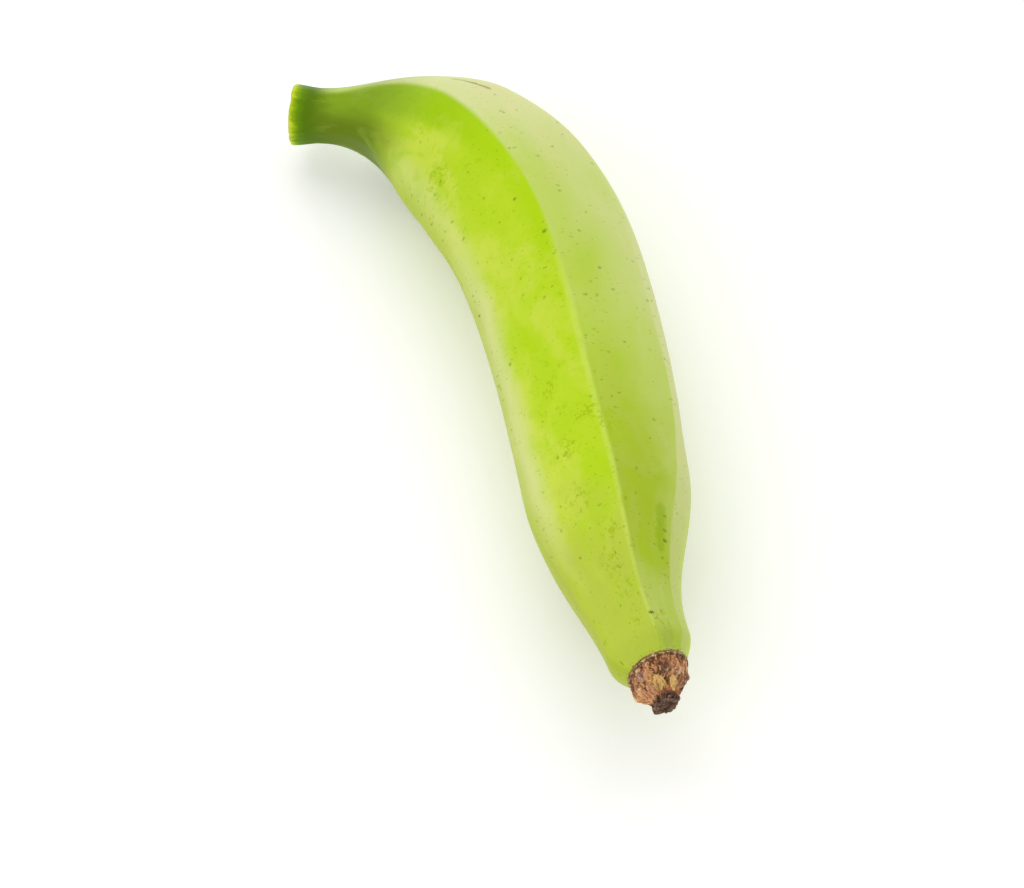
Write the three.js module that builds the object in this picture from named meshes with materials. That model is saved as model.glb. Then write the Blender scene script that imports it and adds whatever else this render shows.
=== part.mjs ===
// A green plantain, picked and lying on its side. Millimetres, Z up, stem towards -X.
import * as THREE from 'three';
import { NURBSCurve } from 'three/addons/curves/NURBSCurve.js';
import { LoftGeometry } from 'three/addons/geometries/LoftGeometry.js';

// Line through the middle of the fruit: control points of a cubic curve, cut stem first.
const MIDDLE = [
  [-117, -28.5, 17.5],
  [-111, -21.5, 18.5],
  [-97.5, -0.5, 21.5],
  [-54.5, 12.5, 25.5],
  [-19.5, 11, 25],
  [22, 0, 23],
  [58.5, -13, 22.5],
  [88, -24.5, 28.5],
  [112, -27.5, 33],
];

// Girth, twist and roundness change along the fruit in smooth steps of [from, to, change].
// From and to are shares of the length: 0 at the cut stem, 1 where the peel ends.
const CUT_RADIUS = 8.9;
const GIRTH_STEPS = [
  [0, 0.035, -0.9],
  [0.04, 0.24, 12.8],
  [0.16, 0.34, 3.6],
  [0.34, 0.99, -4],
  [0.76, 0.965, -9.3],
];
const CUT_TWIST = 11.5;
const TWIST_STEPS = [
  [0, 0.37, -11.5],
  [0.6, 1, 13],
];
const CUT_ROUNDNESS = 0.35;
const ROUNDNESS_STEPS = [
  [0, 0.15, -0.35],
  [0.7, 0.9, 0.3],
  [0.95, 1, 0.55],
];

// The peel has five faces round the fruit: [direction in degrees, distance from the middle].
// 0 degrees is the inside of the bend and 90 is up. A ridge runs where two faces meet.
const FACES = [
  [-19, 1.02],
  [50, 0.95],
  [123, 1.03],
  [196, 0.95],
  [269, 1],
];
const RIDGE_CRISPNESS = 6.5;

// The knife went through the stem a little aslant.
const CUT_SLOPE = 0.18;
const CUT_DIRECTION = 58;
const CUT_FADES_AT = 0.06;

// The last of the peel curls in round the blossom end.
const CURL_STARTS_AT = 0.965;
const CURL = 0.28;
const CURL_POWER = 1.5;

// Dried blossom end: rings of [distance past the peel, radius]. It leans to the inside of the bend.
const BLOSSOM = [
  [0, 7],
  [0.7, 7.4],
  [1.8, 7.5],
  [3.2, 7.1],
  [4.5, 6.2],
  [5.6, 5],
  [6.3, 4.1],
  [7.3, 3.7],
  [8.7, 3.6],
  [9.8, 3.3],
  [10.4, 2.7],
  [10.1, 2],
  [9.7, 1.3],
  [9.9, 0.6],
];
const BLOSSOM_LEAN = 0.19;
const FOLDS = 5;
const FOLD_DEPTH = 0.06;
const FOLD_PHASE = 0.6;
const FINE_FOLD_DEPTH = 0.03;
const FINE_FOLD_PHASE = 1.3;
const FINE_FOLD_DRIFT = 0.25;
const RIM_WAVES = 3;
const RIM_WAVE_DEPTH = 0.03;
const RIM_WAVE_PHASE = 0.4;
const FOLDS_FULL_AT = 3;

// Small flat spot worn by its own weight where it lies.
const FLAT_SPOT = 0.4;

const COLUMNS = 66;
const ROWS = 72;
const CURVE_DIVISIONS = 400;

const RADIANS = Math.PI / 180;
const UP = new THREE.Vector3(0, 0, 1);
const smooth = THREE.MathUtils.smoothstep;

function stepped(start, steps, share) {
  return steps.reduce((value, [from, to, change]) => value + change * smooth(share, from, to), start);
}

function middleLine() {
  const points = MIDDLE.map((p) => new THREE.Vector4(p[0], p[1], p[2], 1));
  const spans = points.length - 3;
  const inner = Array.from({ length: spans - 1 }, (_, i) => (i + 1) / spans);
  const curve = new NURBSCurve(3, [0, 0, 0, 0, ...inner, 1, 1, 1, 1], points);
  curve.arcLengthDivisions = CURVE_DIVISIONS;
  return curve;
}

// One place on the middle line, with the directions along it, to the inside of the bend, and up.
function placeOn(curve, share) {
  const middle = curve.getPointAt(share);
  const along = curve.getTangentAt(share);
  const inward = new THREE.Vector3().crossVectors(along, UP).normalize();
  const upward = new THREE.Vector3().crossVectors(inward, along);
  return { middle, along, inward, upward };
}

function pointAt(place, inward, upward, along) {
  const point = place.middle.clone();
  point.addScaledVector(place.inward, inward);
  point.addScaledVector(place.upward, upward);
  point.addScaledVector(place.along, along);
  return point;
}

// Angles of one ring. They run backwards, so that the loft's outside faces outwards.
function ringAngles() {
  return Array.from({ length: COLUMNS }, (_, i) => (-360 * i * RADIANS) / COLUMNS);
}

function girth(share) {
  const curled = CURL * Math.pow(smooth(share, CURL_STARTS_AT, 1), CURL_POWER);
  return stepped(CUT_RADIUS, GIRTH_STEPS, share) * (1 - curled);
}

// Outline of the five faces, as a multiple of the girth. Both ends are rounder than the belly.
function outline(angle, share) {
  let sum = 0;
  for (const [direction, distance] of FACES) {
    const facing = Math.max(0, Math.cos(angle - direction * RADIANS)) / distance;
    sum += Math.pow(facing, RIDGE_CRISPNESS);
  }
  const faceted = Math.pow(sum, -1 / RIDGE_CRISPNESS);
  return 1 + (faceted - 1) * (1 - stepped(CUT_ROUNDNESS, ROUNDNESS_STEPS, share));
}

function peelRing(curve, share) {
  const place = placeOn(curve, share);
  const twist = stepped(CUT_TWIST, TWIST_STEPS, share) * RADIANS;
  const slope = CUT_SLOPE * Math.max(0, 1 - share / CUT_FADES_AT);
  return ringAngles().map((angle) => {
    const reach = girth(share) * outline(angle, share);
    const turned = angle + twist;
    const slant = slope * reach * Math.cos(turned - CUT_DIRECTION * RADIANS);
    return pointAt(place, reach * Math.cos(turned), reach * Math.sin(turned), slant);
  });
}

// Folded dry tissue, left where the flower fell off.
function blossomRing(curve, distance, radius) {
  const place = placeOn(curve, 1);
  const folded = smooth(distance, 0, FOLDS_FULL_AT);
  const lean = BLOSSOM_LEAN * distance;
  return ringAngles().map((angle) => {
    const fold = FOLD_DEPTH * Math.cos(FOLDS * angle + FOLD_PHASE);
    const drift = FINE_FOLD_PHASE + FINE_FOLD_DRIFT * distance;
    const fineFold = FINE_FOLD_DEPTH * Math.cos(2 * FOLDS * angle + drift);
    const rimWave = RIM_WAVE_DEPTH * Math.cos(RIM_WAVES * angle + RIM_WAVE_PHASE);
    const reach = radius * (1 + folded * (fold + fineFold));
    const depth = distance + folded * radius * rimWave;
    return pointAt(place, lean + reach * Math.cos(angle), reach * Math.sin(angle), depth);
  });
}

function makePlantain() {
  const curve = middleLine();
  const shares = Array.from({ length: ROWS + 1 }, (_, row) => row / ROWS);
  const peel = shares.map((share) => peelRing(curve, share));
  const blossom = BLOSSOM.map(([distance, radius]) => blossomRing(curve, distance, radius));
  const caps = { closed: true, capStart: true, capEnd: true };
  const geometry = new LoftGeometry([...peel, ...blossom], caps);
  geometry.computeBoundingBox();
  const { min, max } = geometry.boundingBox;
  geometry.translate(-(min.x + max.x) / 2, -(min.y + max.y) / 2, -min.z - FLAT_SPOT);
  const position = geometry.getAttribute('position');
  for (let i = 0; i < position.count; i += 1) {
    position.setZ(i, Math.max(0, position.getZ(i)));
  }
  geometry.computeVertexNormals();
  return geometry;
}

const green = new THREE.MeshStandardMaterial({ color: 0xaecb3c, roughness: 0.5, metalness: 0 });
const plantain = new THREE.Mesh(makePlantain(), green);
plantain.name = 'plantain';

const group = new THREE.Group();
group.name = 'green_plantain';
group.add(plantain);

export default group;
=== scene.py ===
"""A green plantain on a pale studio floor: waxy five-sided peel, cut stem and dried blossom end."""

import math

import bpy
from mathutils import Matrix, Vector


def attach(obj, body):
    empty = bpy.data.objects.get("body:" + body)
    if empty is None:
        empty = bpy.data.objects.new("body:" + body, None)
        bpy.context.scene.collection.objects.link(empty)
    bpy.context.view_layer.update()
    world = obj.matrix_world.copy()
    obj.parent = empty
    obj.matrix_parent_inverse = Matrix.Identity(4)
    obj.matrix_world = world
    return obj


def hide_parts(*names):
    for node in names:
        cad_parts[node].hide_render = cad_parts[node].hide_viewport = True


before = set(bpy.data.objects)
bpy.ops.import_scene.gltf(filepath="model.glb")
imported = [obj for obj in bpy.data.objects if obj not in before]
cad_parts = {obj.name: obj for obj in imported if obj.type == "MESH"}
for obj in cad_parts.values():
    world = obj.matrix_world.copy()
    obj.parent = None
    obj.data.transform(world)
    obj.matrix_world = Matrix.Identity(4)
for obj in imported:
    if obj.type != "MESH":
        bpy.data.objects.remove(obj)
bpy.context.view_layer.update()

MM = 0.001
CLOSED_WITHIN = 0.000001

# ------------------------------
# Sizes, in millimetres and degrees. A share runs from 0 at the cut stem to 1 where the peel ends.
# ------------------------------

# Line through the middle of the fruit: control points of a cubic curve, cut stem first. CENTRING
# moves the whole line, so that the fruit lies centred and rests on the floor.
MIDDLE = [
    (-117, -28.5, 17.5),
    (-111, -21.5, 18.5),
    (-97.5, -0.5, 21.5),
    (-54.5, 12.5, 25.5),
    (-19.5, 11, 25),
    (22, 0, 23),
    (58.5, -13, 22.5),
    (88, -24.5, 28.5),
    (112, -27.5, 33),
]
CENTRING = (1.03, 0.49, -0.76)
LENGTH = 252.0
BELLY = 22.0

# Millimetres round the belly in one degree.
DEGREE = BELLY * math.radians(1)

# Girth, twist and roundness change along the fruit in smooth steps of (from, to, change).
CUT_RADIUS = 8.9
GIRTH_STEPS = [
    (0, 0.035, -0.9), (0.04, 0.24, 12.8), (0.16, 0.34, 3.6), (0.34, 0.99, -4), (0.76, 0.965, -9.3),
]
CUT_TWIST = 11.5
TWIST_STEPS = [(0, 0.37, -11.5), (0.6, 1, 13)]
CUT_ROUNDNESS = 0.35
ROUNDNESS_STEPS = [(0, 0.15, -0.35), (0.7, 0.9, 0.3), (0.95, 1, 0.55)]

# Five faces round the fruit: (direction, distance from the middle). 0 is the inside of the bend.
FACES = [(-19, 1.02), (50, 0.95), (123, 1.03), (196, 0.95), (269, 1)]
RIDGE_CRISPNESS = 6.5

# The knife went through the stem a little aslant.
CUT_SLOPE = 0.18
CUT_DIRECTION = 58
CUT_FADES_AT = 0.06

# The last of the peel curls in round the blossom end.
CURL_STARTS_AT = 0.965
CURL = 0.28
CURL_POWER = 1.5

# Dried blossom end, in profile: (distance past the peel, radius), from inside the fruit to its tip.
BLOSSOM = [
    (-2.2, 0), (-2.2, 4), (-1.9, 7), (-0.8, 8.2), (0, 8.1), (0.5, 7.75), (1.8, 7.5), (3.2, 7.1), (4.5, 6.2),
    (5.6, 5), (6.3, 4.1), (7.3, 3.7), (8.7, 3.6), (9.8, 3.3), (10.3, 2.7), (10.1, 2), (9.7, 1.3), (9.8, 0.6),
    (9.9, 0),
]
BLOSSOM_REACH = 10.3
BLOSSOM_LEAN = 0.19


def ridge_between(first, second):
    """Direction of the ridge where two faces of the peel meet."""
    (a, near_a), (b, near_b) = first, second
    a, b = math.radians(a), math.radians(b)
    rise = near_b * math.cos(a) - near_a * math.cos(b)
    run = near_a * math.sin(b) - near_b * math.sin(a)
    return math.degrees(math.atan2(rise, run))


RIDGES = [ridge_between(FACES[i], FACES[(i + 1) % len(FACES)]) for i in range(len(FACES))]
INNER_RIDGE, TOP_RIDGE, OUTER_RIDGE, LOWER_OUTER_RIDGE, LOWER_INNER_RIDGE = RIDGES

# Towards the tip the crest of the outer ridge wanders up the fruit, by this many degrees.
OUTER_DRIFT = 19
OUTER_DRIFT_FROM = 0.6
OUTER_DRIFT_TO = 0.88


# ------------------------------
# Node trees, written as sums
# ------------------------------


class Amount:
    """A number inside a node tree. Arithmetic on it adds the nodes that work it out."""

    def __init__(self, board, socket):
        self.board = board
        self.socket = socket

    def __add__(self, other):
        return self.board.maths("ADD", self, other)

    def __sub__(self, other):
        return self.board.maths("SUBTRACT", self, other)

    def __rsub__(self, other):
        return self.board.maths("SUBTRACT", other, self)

    def __mul__(self, other):
        return self.board.maths("MULTIPLY", self, other)

    def __truediv__(self, other):
        return self.board.maths("DIVIDE", self, other)

    def __pow__(self, other):
        return self.board.maths("POWER", self, other)

    __radd__ = __add__
    __rmul__ = __mul__


class Board:
    """A node tree, with one call for each node."""

    def __init__(self, tree):
        self.tree = tree

    def node(self, kind, settings=None, inputs=None):
        made = self.tree.nodes.new(kind)
        for name, setting in (settings or {}).items():
            setattr(made, name, setting)
        for key, value in (inputs or {}).items():
            self.feed(made.inputs[key], value)
        return made

    def first(self, kind, settings=None, inputs=None):
        """The first output of a new node."""
        return self.node(kind, settings, inputs).outputs[0]

    def feed(self, socket, value):
        """Links an amount or an output to a socket, or sets the socket to a plain value."""
        if isinstance(value, Amount):
            value = value.socket
        if isinstance(value, bpy.types.NodeSocket):
            self.tree.links.new(value, socket)
        elif value is not None:
            socket.default_value = value

    def maths(self, operation, *values):
        made = self.node("ShaderNodeMath", {"operation": operation}, dict(enumerate(values)))
        return Amount(self, made.outputs[0])

    def round_of(self, angle):
        """Cosine and sine of an angle."""
        return self.maths("COSINE", angle), self.maths("SINE", angle)

    def smooth(self, value, start, end, low=0.0, high=1.0):
        """A smooth step from low to high as the value goes from start to end."""
        sizes = {"From Min": start, "From Max": end, "To Min": low, "To Max": high}
        settings = {"interpolation_type": "SMOOTHSTEP"}
        made = self.node("ShaderNodeMapRange", settings, {"Value": value, **sizes})
        return Amount(self, made.outputs[0])

    def stepped(self, start, steps, share):
        """A size that starts at the stem and changes in smooth steps of (from, to, change)."""
        size = start
        for first, last, change in steps:
            size = self.smooth(share, first, last, 0, change) + size
        return size

    def limited(self, value, low=0.0, high=1.0):
        return self.maths("MINIMUM", self.maths("MAXIMUM", value, low), high)

    def vector(self, operation, first, second=None, scale=None):
        wanted = {0: first}
        if second is not None:
            wanted[1] = second
        if scale is not None:
            wanted["Scale"] = scale
        return self.first("ShaderNodeVectorMath", {"operation": operation}, wanted)

    def combine(self, x, y, z):
        return self.first("ShaderNodeCombineXYZ", None, {0: x, 1: y, 2: z})

    def separate(self, vector):
        outputs = self.node("ShaderNodeSeparateXYZ", None, {0: vector}).outputs
        return [Amount(self, outputs[i]) for i in range(3)]

    def noise(self, vector, scale, detail=2.0, roughness=0.5, distortion=0.0):
        """Cloudy noise from 0 to 1, about 0.5."""
        wanted = {"Scale": scale, "Detail": detail, "Roughness": roughness, "Distortion": distortion}
        made = self.node("ShaderNodeTexNoise", None, {"Vector": vector, **wanted})
        return Amount(self, made.outputs[0])

    def chance(self, low, high, seed):
        """A random number for each point, the same on every run."""
        made = self.node("FunctionNodeRandomValue", {"data_type": "FLOAT"}, {2: low, 3: high, 8: seed})
        return Amount(self, made.outputs[1])

    def facing(self, cosine, sine, direction):
        """Cosine of the angle between a place round the fruit and a direction, in degrees."""
        turn = math.radians(direction)
        return cosine * math.cos(turn) + sine * math.sin(turn)


# ------------------------------
# Growing the pieces
# ------------------------------


def drawn_line(name, points, kind):
    """A helper curve that a growth rule follows. It is taken away once the pieces are grown."""
    curve = bpy.data.curves.new(name, "CURVE")
    curve.dimensions = "3D"
    spline = curve.splines.new(kind)
    if kind == "NURBS":
        spline.points.add(len(points) - 1)
        for place, point in zip(spline.points, points):
            place.co = (*point, 1)
        spline.order_u = 4
        spline.use_endpoint_u = True
        spline.resolution_u = 60
    else:
        spline.bezier_points.add(len(points) - 1)
        for place, point in zip(spline.bezier_points, points):
            place.co = point
            place.handle_left_type = place.handle_right_type = "AUTO"
        spline.resolution_u = 12
    line = bpy.data.objects.new(name, curve)
    bpy.context.scene.collection.objects.link(line)
    return line


def new_rule(name, inputs):
    """A growth rule with named inputs, and the board to write it on."""
    tree = bpy.data.node_groups.new(name, "GeometryNodeTree")
    tree.interface.new_socket("Piece", in_out="OUTPUT", socket_type="NodeSocketGeometry")
    for label, kind in inputs.items():
        tree.interface.new_socket(label, in_out="INPUT", socket_type="NodeSocket" + kind)
    board = Board(tree)
    sizes = board.node("NodeGroupInput").outputs
    return tree, board, {label: Amount(board, sizes[label]) for label in inputs}


def end_rule(board, geometry, finish):
    """Ends a rule: plain smooth faces with their finish on."""
    whole = board.first("GeometryNodeRealizeInstances", None, {0: geometry})
    wanted = {"Geometry": whole, "Shade Smooth": True}
    soft = board.first("GeometryNodeSetShadeSmooth", None, wanted)
    dressed = board.first("GeometryNodeSetMaterial", None, {"Geometry": soft, "Material": finish})
    board.node("NodeGroupOutput", None, {0: dressed})


def grow(name, tree, sizes):
    """Grows a rule into a plain mesh, on an object at the origin."""
    seed = bpy.data.objects.new(name + "_seed", bpy.data.meshes.new(name + "_seed"))
    bpy.context.scene.collection.objects.link(seed)
    rule = seed.modifiers.new("rule", "NODES")
    rule.node_group = tree
    for item in tree.interface.items_tree:
        if item.in_out == "INPUT":
            rule[item.identifier] = sizes[item.name]
    graph = bpy.context.evaluated_depsgraph_get()
    grown = seed.evaluated_get(graph)
    mesh = bpy.data.meshes.new_from_object(grown, preserve_all_data_layers=True, depsgraph=graph)
    mesh.name = name
    bpy.data.objects.remove(seed)
    piece = bpy.data.objects.new(name, mesh)
    bpy.context.scene.collection.objects.link(piece)
    return piece


def grid(board, columns, rows):
    """A sheet of points to wrap round the fruit, with its place round and its place along, 0 to 1."""
    sheet = {"Size X": 1.0, "Size Y": 1.0, "Vertices X": columns + 1, "Vertices Y": rows + 1}
    made = board.node("GeometryNodeMeshGrid", None, sheet)
    x, y, _ = board.separate(board.first("GeometryNodeInputPosition"))
    return made.outputs["Mesh"], made.outputs["UV Map"], x + 0.5, y + 0.5


def place_on(board, line, share):
    """A place on the middle line, and the directions along it, to the inside of the bend, and up."""
    settings = {"mode": "FACTOR", "use_all_curves": True}
    sampled = board.node("GeometryNodeSampleCurve", settings, {"Curves": line, "Factor": share})
    along = board.vector("NORMALIZE", sampled.outputs["Tangent"])
    inward = board.vector("NORMALIZE", board.vector("CROSS_PRODUCT", along, (0, 0, 1)))
    upward = board.vector("CROSS_PRODUCT", inward, along)
    return sampled.outputs["Position"], inward, upward, along


def point_at(board, place, inward, upward, along):
    """A point at these distances from a place on the middle line."""
    middle, *directions = place
    point = middle
    for direction, reach in zip(directions, (inward, upward, along)):
        point = board.vector("ADD", point, board.vector("SCALE", direction, scale=reach))
    return point


def curve_of(board, helper):
    """The line of a helper curve."""
    settings = {"transform_space": "ORIGINAL"}
    return board.node("GeometryNodeObjectInfo", settings, {"Object": helper}).outputs["Geometry"]


def wrapped(board, sheet, uv, point, marks, turned=True):
    """The sheet put in place, in metres, with its marks stored, and its seam and poles closed."""
    geometry = board.first("GeometryNodeFlipFaces", None, {0: sheet}) if turned else sheet
    for name, kind, value in marks:
        wanted = {"Geometry": geometry, "Name": name, "Value": value}
        geometry = board.first("GeometryNodeStoreNamedAttribute", {"data_type": kind}, wanted)
    wanted = {"Geometry": geometry, "Name": "UVMap", "Value": uv}
    settings = {"data_type": "FLOAT2", "domain": "CORNER"}
    geometry = board.first("GeometryNodeStoreNamedAttribute", settings, wanted)
    metres = board.vector("SCALE", point, scale=MM)
    placed = board.first("GeometryNodeSetPosition", None, {0: geometry, "Position": metres})
    return board.first("GeometryNodeMergeByDistance", None, {0: placed, "Distance": CLOSED_WITHIN})


def girth_at(board, share):
    """Radius of the fruit, in millimetres, before its faces are cut into it."""
    curled = (board.smooth(share, CURL_STARTS_AT, 1.0) ** CURL_POWER) * CURL
    return board.stepped(CUT_RADIUS, GIRTH_STEPS, share) * (1 - curled)


def outline_at(board, cosine, sine, share, crispness):
    """Outline of the five faces, as a multiple of the girth. Both ends are rounder than the belly."""
    total = 0.0
    for direction, distance in FACES:
        nearness = board.maths("MAXIMUM", board.facing(cosine, sine, direction), 0.0) / distance
        total = nearness ** crispness + total
    faceted = total ** (board.maths("DIVIDE", -1.0, crispness))
    return (faceted - 1) * (1 - board.stepped(CUT_ROUNDNESS, ROUNDNESS_STEPS, share)) + 1


PEEL_COLUMNS = 220
PEEL_ROWS = 330
CAP_ROWS = 12
RIDGE_LIP = 0.3
RIDGE_LIP_WIDTH = 4.0
OUTER_LIP = 0.55
OUTER_LIP_WIDTH = 8.0
SWELLING = 0.5
SWELLING_GRAIN = 0.03
SWELLING_MIDDLE = 0.6
RIM_WIDTH = 0.14
RIM_DEPTH = 0.7
RAGGED_GRAIN = 0.16
RAGGED_TO = 0.03

# Shares between which the peel's relief comes in after the neck, its lips follow, and it goes again.
RELIEF_COMES = (0.05, 0.2)
LIPS_COME = (0.25, 0.45)
RELIEF_GOES = (0.8, 0.97)


def peel_rule(finish):
    """The whole skin, from the knife cut to where the dried blossom sits, closed at both ends."""
    tree, board, size = new_rule("peel_rule", {
        "Middle Line": "Object",
        "Columns": "Int",
        "Rows": "Int",
        "Ridge Crispness": "Float",
        "Seed": "Float",
    })
    rows = size["Rows"]
    crispness = size["Ridge Crispness"]
    sheet, uv, around, down = grid(board, size["Columns"], rows)

    row = down * rows
    share = board.limited((row - CAP_ROWS) / (rows - 2 * CAP_ROWS))
    closing = board.limited(row / CAP_ROWS) * board.limited((rows - row) / CAP_ROWS)
    angle = around * math.tau
    cosine, sine = board.round_of(angle)

    skin = board.combine(cosine * BELLY, sine * BELLY, share * LENGTH)
    seeded = board.vector("ADD", skin, board.combine(size["Seed"], 0, 0))
    belly = board.smooth(share, *RELIEF_COMES) * board.smooth(share, *RELIEF_GOES, 1, 0)
    lip = 0.0
    lip_edge = math.cos(math.radians(RIDGE_LIP_WIDTH))
    for ridge in (INNER_RIDGE, TOP_RIDGE, LOWER_OUTER_RIDGE, LOWER_INNER_RIDGE):
        lip = board.smooth(board.facing(cosine, sine, ridge), lip_edge, 1.0) + lip
    drift = board.smooth(share, OUTER_DRIFT_FROM, OUTER_DRIFT_TO, 0, -math.radians(OUTER_DRIFT))
    outer = board.maths("COSINE", angle - drift - math.radians(OUTER_RIDGE))
    outer_lip = board.smooth(outer, math.cos(math.radians(OUTER_LIP_WIDTH)), 1.0) * OUTER_LIP
    swollen = (board.noise(seeded, SWELLING_GRAIN, 1.0) - SWELLING_MIDDLE) * SWELLING
    relief = (swollen + (lip * RIDGE_LIP + outer_lip) * board.smooth(share, *LIPS_COME)) * belly
    reach = (girth_at(board, share) * outline_at(board, cosine, sine, share, crispness) + relief) * closing

    twist = board.stepped(CUT_TWIST, TWIST_STEPS, share) * math.radians(1)
    turned = angle + twist
    slope = (1 - share / CUT_FADES_AT) * CUT_SLOPE
    slant = board.maths("MAXIMUM", slope, 0.0) * reach
    slant = slant * board.maths("COSINE", turned - math.radians(CUT_DIRECTION))
    ragged = (board.noise(seeded, RAGGED_GRAIN, 2.0) - 0.5) * closing
    ragged = ragged * board.smooth(share, 0.0, RAGGED_TO, 1, 0)
    hollow = board.smooth(closing, 1 - RIM_WIDTH, 1 - RIM_WIDTH / 2, RIM_DEPTH, 0)
    hollow = hollow * board.smooth(share, 0, 0.5, 1, 0)
    place = place_on(board, curve_of(board, size["Middle Line"]), share)
    inward, upward = [reach * side for side in board.round_of(turned)]
    x, y, z = board.separate(point_at(board, place, inward, upward, slant + ragged + hollow))
    grounded = board.combine(x, y, board.maths("MAXIMUM", z, 0.0))

    marks = [("skin", "FLOAT_VECTOR", skin), ("cut", "FLOAT", 1 - closing)]
    end_rule(board, wrapped(board, sheet, uv, grounded, marks), finish)
    return tree


BLOSSOM_COLUMNS = 200
BLOSSOM_ROWS = 190
BLOSSOM_GIRTH = 7
FOLDS = 5
FOLD_DEPTH = 0.06
FINE_FOLD_DEPTH = 0.03
FOLDS_COME = (0.0, 3.0)
SWIRL = 0.06
THREE_LOBES = 0.03
FLAPS = 8
FLAP_DEPTH = 0.55
FLAP_WANDER = 2.2
FLAP_SLANT = 0.08
CREASE_DEPTH = 0.35
CREASE_WIDTH = 0.05
CRUMPLE = 1.1
FINE_CRUMPLE = 0.4
FIBRE_DEPTH = 0.35
FIBRE_STRETCH = 0.3
FRAY = 1.5
FRAY_GOES = (-0.6, 1.2)
FRAY_OUTSIDE = (6.0, 7.5)

# How fine each noise is, as waves in a millimetre.
WANDER_GRAIN = 0.3
CREASE_GRAIN = 0.7
CRUMPLE_GRAIN = 0.45
FINE_CRUMPLE_GRAIN = 1.7
FIBRE_GRAIN = 1.9
FRAY_GRAIN = 1.3


def profile_at(board, size, factor):
    """Distance past the peel, and radius, at a share of the way along the blossom end's profile."""
    settings = {"mode": "FACTOR", "use_all_curves": True}
    wanted = {"Curves": curve_of(board, size["Profile"]), "Factor": factor}
    sampled = board.node("GeometryNodeSampleCurve", settings, wanted).outputs["Position"]
    distance, radius, _ = board.separate(sampled)
    return distance, radius


def on_blossom(board, size, angle, reach, depth):
    """A point of the blossom end, and the directions out from it and on towards the tip."""
    cosine, sine = board.round_of(angle)
    middle, inward, upward, along = place_on(board, curve_of(board, size["Middle Line"]), 1.0)
    lean = board.maths("MAXIMUM", depth, 0.0) * BLOSSOM_LEAN
    point = point_at(board, (middle, inward, upward, along), reach * cosine + lean, reach * sine, depth)
    sideways = board.vector("SCALE", inward, scale=cosine)
    out = board.vector("ADD", sideways, board.vector("SCALE", upward, scale=sine))
    return point, out, along


def blossom_rule(finish):
    """Crumpled dry tissue where the flower fell off, with a frayed edge that lies on the peel."""
    tree, board, size = new_rule("blossom_rule", {
        "Middle Line": "Object",
        "Profile": "Object",
        "Columns": "Int",
        "Rows": "Int",
        "Seed": "Float",
    })
    sheet, uv, around, down = grid(board, size["Columns"], size["Rows"])
    distance, radius = profile_at(board, size, down)
    angle = around * math.tau
    cosine, sine = board.round_of(angle)
    dry = board.combine(cosine * radius, sine * radius, distance)
    seeded = board.vector("ADD", dry, board.combine(0, 0, size["Seed"]))

    folded = board.smooth(distance, *FOLDS_COME)
    swirl = angle + distance * SWIRL
    fold = board.maths("COSINE", swirl * FOLDS + 0.6) * FOLD_DEPTH
    fold = board.maths("COSINE", swirl * (2 * FOLDS) + 1.3) * FINE_FOLD_DEPTH + fold
    wander = board.noise(seeded, WANDER_GRAIN, 2.0)
    flap = board.maths("FRACT", around * FLAPS + wander * FLAP_WANDER + distance * FLAP_SLANT) - 0.5
    off_crease = board.maths("ABSOLUTE", board.noise(seeded, CREASE_GRAIN, 2.0) - 0.5)
    crease = board.smooth(off_crease, 0.0, CREASE_WIDTH) - 1
    crumple = (board.noise(seeded, CRUMPLE_GRAIN, 3.0, 0.6, 0.4) - 0.5) * CRUMPLE
    crumple = (board.noise(seeded, FINE_CRUMPLE_GRAIN, 2.0, 0.6) - 0.5) * FINE_CRUMPLE + crumple
    edge_x, edge_y = cosine * BLOSSOM_GIRTH, sine * BLOSSOM_GIRTH
    fibre_place = board.combine(edge_x, edge_y, distance * FIBRE_STRETCH)
    fibres = (board.noise(fibre_place, FIBRE_GRAIN, 2.0, 0.6) - 0.5) * FIBRE_DEPTH
    relief = crumple + fibres + flap * FLAP_DEPTH + crease * CREASE_DEPTH
    loose = board.smooth(distance, -0.2, 1.0) * board.smooth(radius, 0.3, 2.5)

    torn = (board.noise(board.combine(edge_x, edge_y, 3.0), FRAY_GRAIN, 3.0, 0.7) - 0.5) * FRAY
    torn = torn * board.smooth(distance, *FRAY_GOES, 1, 0) * board.smooth(radius, *FRAY_OUTSIDE)
    reach = radius * (folded * fold + 1) + relief * loose
    lobes = folded * radius * board.maths("COSINE", angle * 3 + 0.4)
    depth = distance + torn + lobes * THREE_LOBES
    point, _, _ = on_blossom(board, size, angle, reach, depth)

    marks = [("dry", "FLOAT_VECTOR", dry), ("relief", "FLOAT", relief), ("depth", "FLOAT", distance)]
    end_rule(board, wrapped(board, sheet, uv, point, marks), finish)
    return tree


SCALE_COLUMNS = 20
SCALE_ROWS = 20
SCALE_LENGTH = 5.0
SCALE_WIDTH = 2.4
SCALE_THICKNESS = 0.35
SCALE_CURL = 0.7
SCALE_FOLD = 0.4
SCALE_CRUMPLE = 1.2
SCALE_CRUMPLE_GRAIN = 0.7

# Dry scales: (direction, past the peel, radius, lean inwards, size, how bleached and lit; the scales that
# face up are made lighter as painted light).
SCALES = [
    (79, 4.2, 6.5, 1.0, 1.4, 0.85),
    (88, 5.4, 5.7, 1.1, 0.9, 1.0),
    (123, 5.0, 5.9, 0.8, 0.95, 0.95),
    (50, 5.0, 5.9, 0.9, 1.3, 0.62),
    (150, 4.0, 6.4, 0.8, 0.8, 0.4),
    (22, 4.6, 6.1, 0.8, 1.0, 0.6),
    (-40, 4.8, 5.9, 0.9, 0.9, 0.35),
    (-100, 4.4, 6.2, 0.9, 0.9, 0.45),
    (-160, 4.8, 5.9, 0.9, 0.8, 0.3),
]


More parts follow.
